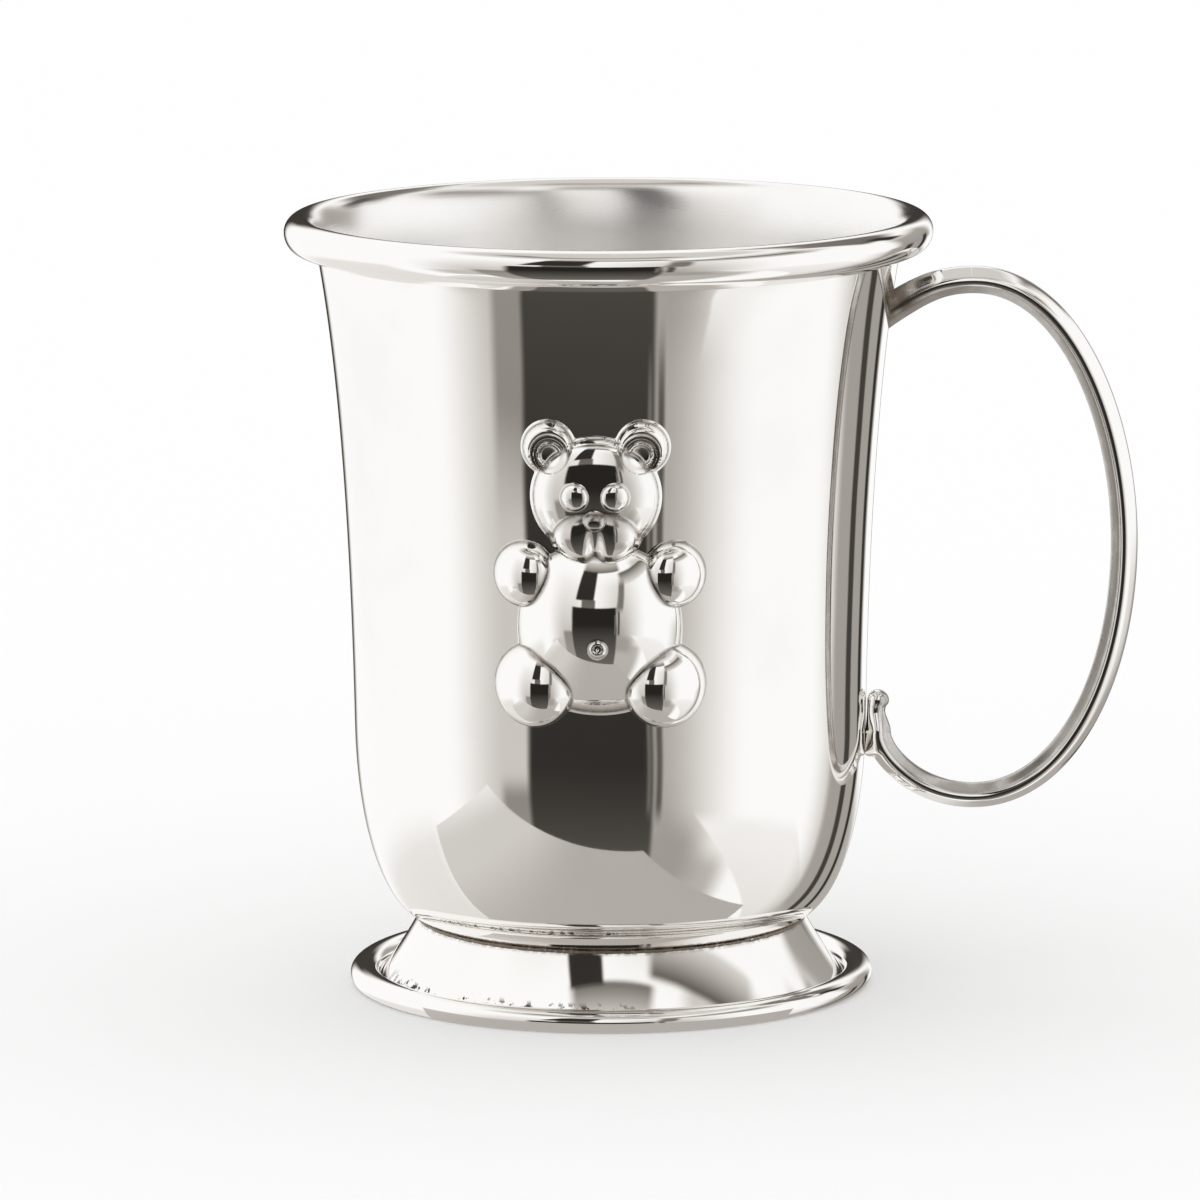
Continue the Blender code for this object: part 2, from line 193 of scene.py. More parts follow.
# Small forms added on top of those: the same values without a base
BEAR_EYE = (0.00212, 0.00825, 0.00142, 0.00142, 0.00055, 0.50)
BEAR_NOSE = (0.0, 0.0058, 0.00105, 0.00098, 0.00045, 0.50)
BEAR_NAVEL = (0.0, -0.0076, 0.00093, 0.00093, 0.00035, 0.50)
NAVEL_PIT = (0.0, -0.0076, 0.00050, 0.00050, -0.0006, 1.0)
# Each ear is a round ring about a hollow that lies lower: (across, up, radius), then (rise, base) of the
# ring, (height, slope) of the floor, (radius, width, height) of a ridge and (depth, width) of a groove
EAR_EDGE = (0.0050, 0.01322, 0.00262)
EAR_DISH = (0.0048, 0.01250, 0.00180)
EAR_RING = (0.0013, 0.0005)
EAR_FULLNESS = 0.6
EAR_FLOOR = (0.0007, 0.0003)
EAR_RIDGE = (0.00130, 0.00022, 0.00035)
EAR_GROOVE = (0.00022, 0.00020)
HEAD_SHIFT = -0.0003
MUZZLE_SQUARENESS = 2.2
CLEFT_DEPTH = 0.00042
CLEFT_WIDTH = 0.00085
CLEFT_TOP = 0.0062
CLEFT_RUN = 0.0018
CLEFT_MOST = 2.5
LIMB_TILT = 0.105
SIDE_STEEPNESS = 4.5
CREASE_FILLET = 0.00012
CREASE_WIDTH = 0.0008
FLANGE_WIDTH = 0.00042
FLANGE_HEIGHT = 0.00024
FLANGE_BEVEL = 0.4 * FLANGE_WIDTH
FLANGE_DROP = 3
RELIEF_MARGIN = 4 * FLANGE_WIDTH
RELIEF_CUT = 0.00004
RELIEF_SINK = 0.0001


def length(name, description, default):
    """A size in metres that a user may change."""
    return FloatProperty(name=name, description=description, default=default, subtype="DISTANCE",
                         unit="LENGTH", precision=5)


def share(name, description, default):
    """A plain number that a user may change."""
    return FloatProperty(name=name, description=description, default=default)


def angle(name, description, degrees):
    """An angle that a user may change."""
    return FloatProperty(name=name, description=description, default=math.radians(degrees),
                         subtype="ANGLE", unit="ROTATION")


def colour(name, description, default):
    """A colour that a user may change."""
    return FloatVectorProperty(name=name, description=description, default=default, subtype="COLOR",
                               size=3, min=0.0, max=1.0)


class BowlSizes(bpy.types.PropertyGroup):
    """Sizes of the spun bowl and of the bead round its lip."""

    height: length("Height", "Height of the cup to the top of its lip", RIM_HIGH.z)
    wall: length("Wall", "Thickness of the sheet", 0.0008)
    lip_radius: length("Lip radius", "Radius of the wall's line at the lip", 0.0322)
    lip_drop: length("Lip drop", "How far the wall's line ends below the top", 0.0002)
    flare_depth: length("Flare depth", "How far down the lip's flare reaches", 0.0121)
    flare_out: length("Flare out", "How far the lip's flare leans out", 0.0026)
    waist_radius: length("Waist radius", "Radius of the narrowest part of the wall", 0.0278)
    waist_height: length("Waist height", "Height of the narrowest part of the wall", 0.0288)
    waist_lean: share("Waist lean", "Slope of the wall at the waist", 0.015)
    wall_run: length("Wall run", "Straight run of the wall above the waist", 0.0248)
    turn_drop: length("Turn drop", "Straight run of the wall below the waist", 0.0113)
    heel_out: length("Heel out", "How far the heel runs out from the corner", 0.00405)
    heel_rise: length("Heel rise", "How far the heel rises from the corner", 0.00135)
    corner_radius: length("Corner radius", "Radius of the corner between bowl and foot", 0.02095)
    seat_height: length("Seat height", "Height of the corner between bowl and foot", 0.00755)
    mouth_depth: length("Mouth depth", "How far down the inside starts to turn over the bead", 0.0050)
    mouth_pull: length("Mouth pull", "How long the inside stays straight before it turns", 0.0024)
    mouth_roll: length("Mouth roll", "How far in from its top the bead starts to roll", 0.0016)
    bead_radius: length("Bead radius", "Outer radius of the lip's bead", (RIM_HIGH.x - RIM_LOW.x) / 2)
    bead_round: length("Bead round", "Half the width of the lip's bead", 0.00185)
    bead_upper: length("Bead upper", "Height of the bead above its middle", 0.0018)
    bead_lower: length("Bead lower", "Depth of the bead below its middle", 0.0021)
    bead_depth: length("Bead depth", "How far down the bead meets the wall", 0.0046)


class FootSizes(bpy.types.PropertyGroup):
    """Sizes of the spun foot, the wire round its edge and the solder."""

    wall: length("Wall", "Thickness of the sheet", 0.0007)
    seam: length("Seam", "Gap that the solder fills under the bowl", 0.00012)
    neck_radius: length("Neck radius", "Radius of the foot under the bowl", 0.02100)
    neck_out: length("Neck out", "How far the neck leans out", 0.00117)
    neck_drop: length("Neck drop", "How far the neck's lean reaches down", 0.00221)
    skirt_in: length("Skirt in", "How far the skirt leans in from the edge", 0.00156)
    skirt_rise: length("Skirt rise", "How far the skirt's lean reaches up", 0.00196)
    edge_radius: length("Edge radius", "Radius of the sheet's edge behind the wire", 0.02525)
    edge_height: length("Edge height", "Height of the sheet's edge", 0.0009)
    flange: length("Flange", "Width of the ring that the bowl sits on", 0.0060)
    wire_radius: length("Wire radius", "Outer radius of the wire", (FOOT_HIGH.x - FOOT_LOW.x) / 2)
    wire_width: length("Wire width", "Width of the wire", 0.0032)
    wire_height: length("Wire height", "Height of the wire", 0.0023)
    nose_height: length("Nose height", "Height of the wire's outermost line", 0.00105)
    solder: length("Solder", "Radius of the line of solder under the bowl", 0.00034)


class HandleSizes(bpy.types.PropertyGroup):
    """Sizes of the cast handle, measured from the cup's axis."""

    reach: length("Reach", "How far the handle stands out", HANDLE_HIGH.x - AXIS_X)
    width: length("Width", "Width of the strap", 0.0038)
    rise: length("Rise", "Half the thickness of the strap", 0.00145)
    ridge_round: length("Ridge round", "Radius of the strap's four ridges", 0.00065)
    root_drop: length("Root drop", "Depth of the upper end below the lip", 0.0117)
    crown_drop: length("Crown drop", "Depth of the strap's crown below the lip", 0.0072)
    crown_out: length("Crown out", "Where the crown is", 0.0395)
    side_height: length("Side height", "Height of the outermost point", 0.0485)
    sweep_out: length("Sweep out", "Where the lowest point is", 0.0394)
    sweep_height: length("Sweep height", "Height of the lowest point's middle", 0.0206)
    landing_height: length("Landing height", "Height where the strap lies on the wall", 0.0276)
    ball_height: length("Ball height", "Height of the ball at the lower end", 0.0310)
    ball_radius: length("Ball radius", "Radius of the ball", 0.0012)
    fillet: length("Fillet", "Width of the solder round the upper end", 0.0002)


class CupFinish(bpy.types.PropertyGroup):
    """Colours and polish."""

    silver: colour("Silver", "Colour of the polished plate", (0.968, 0.957, 0.938))
    # The brown of the flux and film, and also of the shade painted in the bear's creases and on the handle
    tarnish_and_shade: colour("Tarnish", "Colour of the film in the creases", (0.16, 0.128, 0.096))
    solder: colour("Solder", "Colour of the rough solder", (0.30, 0.25, 0.20))
    polish: share("Polish", "Roughness of the mirror polish", 0.035)
    satin: share("Satin", "Roughness of the satin inside", 0.34)


class CupStage(bpy.types.PropertyGroup):
    """The camera and the studio."""

    distance: length("Distance", "From the camera to the middle of the cup", 0.900)
    aim_height: length("Aim height", "Height that the camera is aimed at", 0.042)
    pitch: angle("Pitch", "How far the camera looks down", 9.514)
    turn: angle("Turn", "How far the camera stands to the handle's side", 2.29)
    roll: angle("Roll", "How far the camera leans", -0.22)
    lens: share("Lens", "Focal length in millimetres", 248.55)
    shift_x: share("Shift across", "How far the picture is shifted across", -0.00822)
    shift_y: share("Shift up", "How far the picture is shifted up", -0.00018)
    floor: colour("Floor", "Colour of the floor", (0.995, 0.995, 0.995))


def ease(share_done):
    """0 below 0, 1 above 1 and a smooth step between."""
    share_done = max(0.0, min(share_done, 1.0))
    return share_done * share_done * (3 - 2 * share_done)


def curve(start, start_pull, end_pull, end, steps):
    """Points of a cubic curve in a plane, both ends included."""
    corners = [Vector((*point, 0)) for point in (start, start_pull, end_pull, end)]
    return [point.to_2d() for point in interpolate_bezier(*corners, steps + 1)]


def offset(points, distance):
    """The same run of points moved to its left, square to the run. distance is one length or a list."""
    moved = []
    last = len(points) - 1
    for index, point in enumerate(points):
        along = (Vector(points[min(index + 1, last)]) - Vector(points[max(index - 1, 0)])).normalized()
        step = distance[index] if isinstance(distance, list) else distance
        moved.append(Vector((point[0] - along.y * step, point[1] + along.x * step)))
    return moved


def arc(centre, across, up, start, end, steps):
    """Points of an elliptic arc between two angles in degrees."""
    turns = [math.radians(start + (end - start) * step / steps) for step in range(steps + 1)]
    return [Vector((centre[0] + across * math.cos(turn), centre[1] + up * math.sin(turn)))
            for turn in turns]


def bowl_outside(bowl):
    """Outer face of the bowl, from the lip down to the corner where the foot starts."""
    lip = Vector((bowl.lip_radius, bowl.height - bowl.lip_drop))
    waist = Vector((bowl.waist_radius, bowl.waist_height))
    corner = Vector((bowl.corner_radius, bowl.seat_height))
    above = waist + Vector((bowl.waist_lean, 1)) * bowl.wall_run
    below = waist - Vector((bowl.waist_lean, 1)) * bowl.turn_drop
    heel = corner + Vector((bowl.heel_out, bowl.heel_rise))
    flare = curve(lip, lip - Vector((bowl.flare_out, bowl.flare_depth)), above, waist, FLARE_STEPS)
    turn = curve(waist, below, heel, corner, TURN_STEPS)
    return flare + turn[1:]


def bowl_radius(bowl, height):
    """Outer radius of the bowl at a height, or at each height of an array."""
    outside = np.array(bowl_outside(bowl))[::-1]
    return np.interp(height, outside[:, 1], outside[:, 0])


def bead_crest(bowl):
    """Top of the lip's bead."""
    return Vector((bowl.bead_radius - bowl.bead_round, bowl.height))


def bowl_mouth(bowl):
    """The inside where it turns over the bead, and the same sheet's underside, both running up."""
    inside = [point for point in offset(bowl_outside(bowl), -bowl.wall)
              if point.y < bowl.height - bowl.mouth_depth]
    start = inside[0]
    along = (inside[0] - inside[1]).normalized()
    crest = bead_crest(bowl)
    roll = crest - Vector((bowl.mouth_roll, 0))
    mouth = curve(start, start + along * bowl.mouth_pull, roll, crest, MOUTH_STEPS)
    thinning = [LIP_THINNING * (step / MOUTH_STEPS) ** 2 for step in range(MOUTH_STEPS + 1)]
    thickness = [-bowl.wall * (1 - thinned) for thinned in thinning]
    return inside, mouth, offset(mouth, thickness)


def spun(profile, closed=False, steps=SPIN_STEPS, layer=None, values=()):
    """A bmesh turned from a profile of (radius, height) round the cup's axis."""
    shape = bmesh.new()
    marks = shape.verts.layers.float.new(layer) if layer else None
    corners = [shape.verts.new((AXIS_X + radius, 0, height)) for radius, height in profile]
    for corner, value in zip(corners, values):
        corner[marks] = value
    for first, second in zip(corners, corners[1:] + corners[:1] if closed else corners[1:]):
        shape.edges.new((first, second))
    bmesh.ops.spin(shape, geom=shape.verts[:] + shape.edges[:], cent=(AXIS_X, 0, 0), axis=(0, 0, 1),
                   angle=2 * math.pi, steps=steps, use_merge=True)
    bmesh.ops.remove_doubles(shape, verts=shape.verts, dist=MERGE)
    bmesh.ops.recalc_face_normals(shape, faces=shape.faces)
    return shape


def add_object(name, shape, material):
    """Turns a bmesh into an object of one material."""
    mesh = bpy.data.meshes.new(name)
    shape.to_mesh(mesh)
    shape.free()
    mesh.materials.append(material)
    made = bpy.data.objects.new(name, mesh)
    bpy.context.scene.collection.objects.link(made)
    return made


def add_piece(name, shape, material, node):
    """Adds a finished piece that stands for a CAD node."""
    piece = add_object(name, shape, material)
    piece.data.shade_smooth()
    piece.data.set_sharp_from_angle(angle=SHARP_ANGLE)
    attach(piece, "root")
    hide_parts(node)


def arithmetic(operation):
    """A method that joins two numbers of a material by a Math node."""
    def join(first, second):
        return first.finish.math(operation, first, second)
    return join


class Amount:
    """A number in a material; arithmetic on it adds Math nodes."""

    __add__ = arithmetic("ADD")
    __radd__ = arithmetic("ADD")
    __sub__ = arithmetic("SUBTRACT")
    __mul__ = arithmetic("MULTIPLY")
    __truediv__ = arithmetic("DIVIDE")
    __pow__ = arithmetic("POWER")

    def __init__(self, finish, socket):
        self.finish = finish
        self.socket = socket

    def __rsub__(self, other):
        return self.finish.math("SUBTRACT", other, self)

    def rise(self, low, high):
        """0 below low, 1 above high and a smooth step between."""
        settings = {"interpolation_type": "SMOOTHSTEP"}
        return self.finish.node("ShaderNodeMapRange", settings, {"Value": self, 1: low, 2: high})


class Finish:
    """A material under construction."""

    def __init__(self, name):
        self.material = bpy.data.materials.new(name)
        self.material.use_nodes = True
        self.tree = self.material.node_tree
        self.shader = self.tree.nodes["Principled BSDF"]

    def link(self, socket, value):
        if isinstance(value, Amount):
            value = value.socket
        if isinstance(value, bpy.types.NodeSocket):
            self.tree.links.new(value, socket)
        else:
            socket.default_value = value

    def node(self, kind, settings=None, inputs=None, output=0):
        """A new node: its settings, then its sockets' values or links. Gives one output."""
        made = self.tree.nodes.new(kind)
        for key, value in (settings or {}).items():
            setattr(made, key, value)
        for key, value in (inputs or {}).items():
            self.link(made.inputs[key], value)
        return Amount(self, made.outputs[output])

    def math(self, operation, first, second):
        return self.node("ShaderNodeMath", {"operation": operation}, {0: first, 1: second})

    def place(self, middle=(AXIS_X, 0, 0)):
        """Object coordinates from the cup's axis, or from another middle."""
        where = self.node("ShaderNodeTexCoord", output="Object")
        return self.node("ShaderNodeVectorMath", {"operation": "SUBTRACT"}, {0: where, 1: middle})

    def split(self, vector):
        parts = self.tree.nodes.new("ShaderNodeSeparateXYZ")
        self.link(parts.inputs[0], vector)
        return [Amount(self, socket) for socket in parts.outputs]

    def join(self, x, y, z):
        return self.node("ShaderNodeCombineXYZ", None, {0: x, 1: y, 2: z})

    def noise(self, vector, scale, detail=2.0, roughness=0.5):
        return self.node("ShaderNodeTexNoise", None,
                         {"Vector": vector, "Scale": scale, "Detail": detail, "Roughness": roughness})

    def patches(self, vector, texture):
        """Patches with soft edges, as their texture says."""
        grain, step = texture
        return self.noise(vector, *grain).rise(*step)

    def mix(self, share_of_second, first, second):
        made = self.tree.nodes.new("ShaderNodeMix")
        made.data_type = "RGBA"
        self.link(made.inputs[0], share_of_second)
        self.link(made.inputs[6], first)
        self.link(made.inputs[7], second)
        return Amount(self, made.outputs[2])

    def attribute(self, name):
        return self.node("ShaderNodeAttribute", {"attribute_name": name}, output="Fac")

    def bump(self, height, distance, under=None):
        inputs = {"Height": height, "Distance": distance, "Strength": 1.0}
        if under:
            inputs["Normal"] = under
        return self.node("ShaderNodeBump", None, inputs)

    def now(self, name):
        """What feeds one of the shader's sockets so far."""
        return Amount(self, self.shader.inputs[name].links[0].from_socket)

    def set(self, **values):
        """Values or links of the shader's sockets, with _ for a space."""
        for key, value in values.items():
            self.link(self.shader.inputs[key.replace("_", " ")], value)


def rgba(value):
    return (*value, 1.0)


def ring_place(finish):
    """A place that runs round the cup without a seam: (cosine, sine, height, radius)."""
    x, y, z = finish.split(finish.place())
    radius = (x * x + y * y) ** 0.5
    return x / radius, y / radius, z, radius


def ring_noise(finish, cosine, sine, along, scales, roughness=0.6):
    """A noise without a seam, with one scale round the cup and another along its profile."""
    around, up = scales
    return finish.noise(finish.join(cosine * around, sine * around, along * up), 1.0, 3.0, roughness)


def patchy(patches, stain):
    """Brown film and painted shade that vary with patches, from their (spread, least)."""
    spread, least = stain
    return patches * spread + least


def polished(name, settings, waviness=0.000004, scale=160.0):
    """Mirror-polished silver plate: fine smears in the polish, hairlines and a hand-finished wave."""
    finish = Finish(name)
    place = finish.place()
    smear = finish.patches(place, SMEAR)
    hairline = finish.patches(place, HAIRLINE)
    finish.set(Metallic=1.0, IOR=1.45)
    tint = [channel * SMEAR_TINT for channel in settings.silver]
    finish.set(Base_Color=finish.mix(smear, rgba(settings.silver), rgba(tint)))
    finish.set(Roughness=settings.polish + smear * SMEAR_DULLING + hairline * HAIRLINE_DULLING)
    wave = finish.noise(place, scale, *WAVE_GRAIN)
    finish.set(Normal=finish.bump(wave, waviness))
    return finish


def bowl_finish(settings):
    """The bowl's plate: mirror polish outside, and satin inside where its own satin attribute says so."""
    finish = polished("bowl_silver_plate", settings, waviness=0.000010, scale=130.0)
    satin = finish.attribute("satin")
    cosine, sine, height, _ = ring_place(finish)
    brushed = ring_noise(finish, cosine, sine, height, BRUSH_SCALES)
    clouds = ring_noise(finish, cosine, sine, height, CLOUD_SCALES)
    rough = settings.satin - SATIN_SPREAD / 2 + clouds * SATIN_SPREAD
    finish.set(Roughness=finish.now("Roughness") * (1.0 - satin) + rough * satin)
    swell = finish.noise(finish.place(), SWELL_SCALE, *WAVE_GRAIN)
    swell = finish.bump(swell * (1.0 - satin), SWELL_HEIGHT, finish.now("Normal"))
    finish.set(Normal=finish.bump(brushed * satin, BRUSH_HEIGHT, swell))
    return finish.material


def foot_finish(settings):
    """The foot's plate, with brown specks of flux left along both of its seams."""
    finish = polished("foot_silver_plate", settings, waviness=0.000005, scale=150.0)
    cosine, sine, height, radius = ring_place(finish)
    specks = ring_noise(finish, cosine, sine, height - radius, SPECK_SCALES, SPECK_ROUGHNESS)
    left_front = (sine * -1).rise(*SPECK_FRONT) * (1.0 - cosine.rise(*SPECK_RIGHT))
    low = (1.0 - height.rise(*SPECK_LOW)) * left_front
    high = height.rise(*SPECK_HIGH) * SEAM_SHARE
    stain = specks.rise(*SPECK_STEP) * low + specks.rise(*SEAM_STEP) * high
    add_stain_and_shade(finish, settings, stain, SPECK_DARKNESS)
    return finish.material


def add_stain_and_shade(finish, settings, stain, darkness=1.0):
    """Browns and dulls a polished finish where stain is 1: real flux on the foot, brown film with painted
    shade in the bear's creases, and painted shadow, reflection and shade on the handle. A darkness above 1
    deepens the brown.
    """
    brown = [part / darkness for part in settings.tarnish_and_shade]
    finish.set(Base_Color=finish.mix(stain, finish.now("Base Color"), rgba(brown)))
    finish.set(Roughness=finish.now("Roughness") + stain * STAIN_DULLING)


def bear_finish(settings):
    """The bear's plate, with a thin brown film and painted shade in its creases."""
    finish = polished("bear_silver_plate", settings, waviness=0.000003, scale=420.0)
    film_and_shade = finish.patches(finish.place(), CREASE_FILM_AND_SHADE)
    add_stain_and_shade(finish, settings, finish.attribute("crease") * patchy(film_and_shade, CREASE_STAIN_AND_SHADE))
    return finish.material


def handle_finish(scene):
    """The handle's plate, with painted shadow and a painted reflection of the rim at its root, with some
    brown film, and painted shade on its inner side.
    """
    settings, bowl, handle = scene.cup_finish, scene.cup_bowl, scene.cup_handle
    finish = polished("handle_silver_plate", settings, waviness=0.000004, scale=260.0)
    x, _, z = finish.split(finish.place())
    root_height = bowl.height - handle.root_drop
    root_out = float(bowl_radius(bowl, root_height))
    along = (x - root_out) * ROOT_SHADE_LINE[0] + (z - root_height) * ROOT_SHADE_LINE[1]
    over = (z - root_height) * ROOT_SHADE_LINE[0] - (x - root_out) * ROOT_SHADE_LINE[1]
    film_and_shade_patches = finish.patches(finish.place(), FILM_AND_SHADE_PATCHES)
    # Painted shadow and painted reflection of the rim on the root's upper face, with some brown film,
    # fading along the strap
    film_and_shade = over.rise(*ROOT_SHADE_EDGE) * (1.0 - along.rise(*ROOT_SHADE_RUN))
    film_and_shade = film_and_shade * patchy(film_and_shade_patches, ROOT_FILM_AND_SHADE)
    # Painted shade on the strap's inner side, which faces the wall
    inside = finish.attribute("inner").rise(*INNER_SHADE_STEP) * patchy(film_and_shade_patches, INNER_PAINTED_SHADE)
    add_stain_and_shade(finish, settings, film_and_shade + inside * (1.0 - film_and_shade))
    return finish.material


def solder_finish(settings):
    """Rough solder, brown and pitted, plated thinly."""
    finish = Finish("rough_solder")
    place = finish.place()
    grain = finish.noise(place, *GRAIN)
    bright = grain.rise(*GRAIN_STEP)
    finish.set(Metallic=1.0)
    finish.set(Base_Color=finish.mix(bright, rgba(settings.solder), rgba(settings.silver)))
    rough, gain = GRAIN_ROUGHNESS
    finish.set(Roughness=rough - bright * gain)
    finish.set(Normal=finish.bump(grain, GRAIN_HEIGHT))
    return finish.material


class CUP_OT_bowl(bpy.types.Operator):
    """Spin the bowl, mirror-polished outside and satin inside"""

    bl_idname = "baby_cup.bowl"
    bl_label = "Bowl"

    def execute(self, context):
        bowl = context.scene.cup_bowl
        inside, mouth, underside = bowl_mouth(bowl)
        floor = bowl.seat_height + bowl.wall
        inner = [Vector((0, floor))] + [Vector((point.x, max(point.y, floor))) for point in inside[::-1]]
        outer = [point for point in bowl_outside(bowl) if point.y < underside[0].y - bowl.wall]
        profile = inner + mouth[1:] + underside[-2::-1] + outer + [Vector((0, bowl.seat_height))]
        satin = [1.0] * len(inner)
        satin += [(1 - step / MOUTH_STEPS) ** SATIN_FADE for step in range(1, MOUTH_STEPS + 1)]
        satin += [0.0] * (len(profile) - len(satin))
        shape = spun(profile, layer="satin", values=satin)
        add_piece("spun_bowl", shape, bowl_finish(context.scene.cup_finish), "bowl")
        return {"FINISHED"}


class CUP_OT_rim(bpy.types.Operator):
    """Spin the bead round the lip"""

    bl_idname = "baby_cup.rim"
    bl_label = "Rim bead"

    def execute(self, context):
        bowl = context.scene.cup_bowl
        crest = bead_crest(bowl)
        centre = crest - Vector((0, bowl.bead_upper))
        foot = Vector((0, bowl.height - bowl.bead_depth))
        foot.x = bowl_radius(bowl, foot.y) - BEAD_SINK
        upper_steps, lower_steps, tuck_steps = BEAD_STEPS
        upper = arc(centre, bowl.bead_round, bowl.bead_upper, 90, 0, upper_steps)
        lower = arc(centre, bowl.bead_round, bowl.bead_lower, 0, BEAD_TURN, lower_steps)
        under = lower[-1]
        tuck = curve(under, under - Vector(BEAD_TUCK), foot + Vector(BEAD_LANDING), foot, tuck_steps)
        underside = [point for point in offset(bowl_mouth(bowl)[2], -BEAD_GAP) if point.y > foot.y]
        shape = spun(upper + lower[1:] + tuck[1:] + underside[:-1], closed=True)
        add_piece("lip_bead", shape, polished("lip_silver_plate", context.scene.cup_finish).material,
                  "rim_bead")
        return {"FINISHED"}


class CUP_OT_foot(bpy.types.Operator):
    """Spin the hollow foot and the wire round its edge"""

    bl_idname = "baby_cup.foot"
    bl_label = "Foot and wire"

    def execute(self, context):
        bowl = context.scene.cup_bowl
        foot = context.scene.cup_foot
        finish = context.scene.cup_finish
        top = bowl.seat_height - foot.seam
        neck = Vector((foot.neck_radius, top))
        edge = Vector((foot.edge_radius, foot.edge_height))
        outside = curve(neck, neck + Vector((foot.neck_out, -foot.neck_drop)),
                        edge + Vector((-foot.skirt_in, foot.skirt_rise)), edge, FOOT_STEPS)
        inside = [point for point in offset(outside, -foot.wall) if point.y < top - foot.wall]
        flange = foot.neck_radius - foot.flange
        profile = [Vector((flange, top))] + outside + inside[::-1]
        profile += [Vector((inside[0].x, top - foot.wall)), Vector((flange, top - foot.wall))]
        add_piece("trumpet_foot", spun(profile, closed=True), foot_finish(finish), "foot")
        wire = polished("wire_silver_plate", finish)
        add_piece("foot_wire", spun(self.wire_section(foot), closed=True), wire.material,
                  "foot_bead")
        return {"FINISHED"}

    def wire_section(self, foot):
        """An oval with a flat below, where it rests, and its nose low on the outside."""
        outer, width = foot.wire_radius, foot.wire_width
        crest = Vector((outer - WIRE_CREST * width, foot.wire_height))
        nose = Vector((outer, foot.nose_height))
        rest_out, rest_in = [Vector((outer - place * width, 0)) for place in WIRE_REST]
        back = Vector((outer - width, WIRE_BACK * foot.wire_height))
        section = self.quarter(crest, nose, True, WIRE_STEPS[0])
        section += self.quarter(nose, rest_out, False, WIRE_STEPS[1])[1:]
        section += self.quarter(rest_in, back, True, WIRE_STEPS[2])
        section += self.quarter(back, crest, False, WIRE_STEPS[3])[1:-1]
        return section

    def quarter(self, start, end, level_first, steps):
        """A quarter of an oval, which leaves its start level or upright and arrives the other way."""
        level = Vector((end.x - start.x, 0)) * WIRE_FULLNESS
        upright = Vector((0, end.y - start.y)) * WIRE_FULLNESS
        leave, arrive = (level, upright) if level_first else (upright, level)
        return curve(start, start + leave, end - arrive, end, steps)


class CUP_OT_solder(bpy.types.Operator):
    """Lay the uneven line of solder between bowl and foot"""

    bl_idname = "baby_cup.solder"
    bl_label = "Solder"

    def execute(self, context):
        bowl = context.scene.cup_bowl
        foot = context.scene.cup_foot
        corner = Vector((bowl.corner_radius, bowl.seat_height))
        across, up = Vector(SOLDER_SECTION) * foot.solder
        middle = corner + Vector(SOLDER_MIDDLE) * foot.solder
        section = arc(middle, across, up, 0, 360 - 360 / SOLDER_SIDES, SOLDER_SIDES - 1)
        shape = spun(section, closed=True, steps=SOLDER_SPIN_STEPS)
        shape.normal_update()
        for corner in shape.verts:
            lump = sum(noise.noise(corner.co * scale) * part for scale, part in SOLDER_LUMPS)
            corner.co += corner.normal * lump * foot.solder
        add_piece("solder_line", shape, solder_finish(context.scene.cup_finish), "foot_solder")
        return {"FINISHED"}


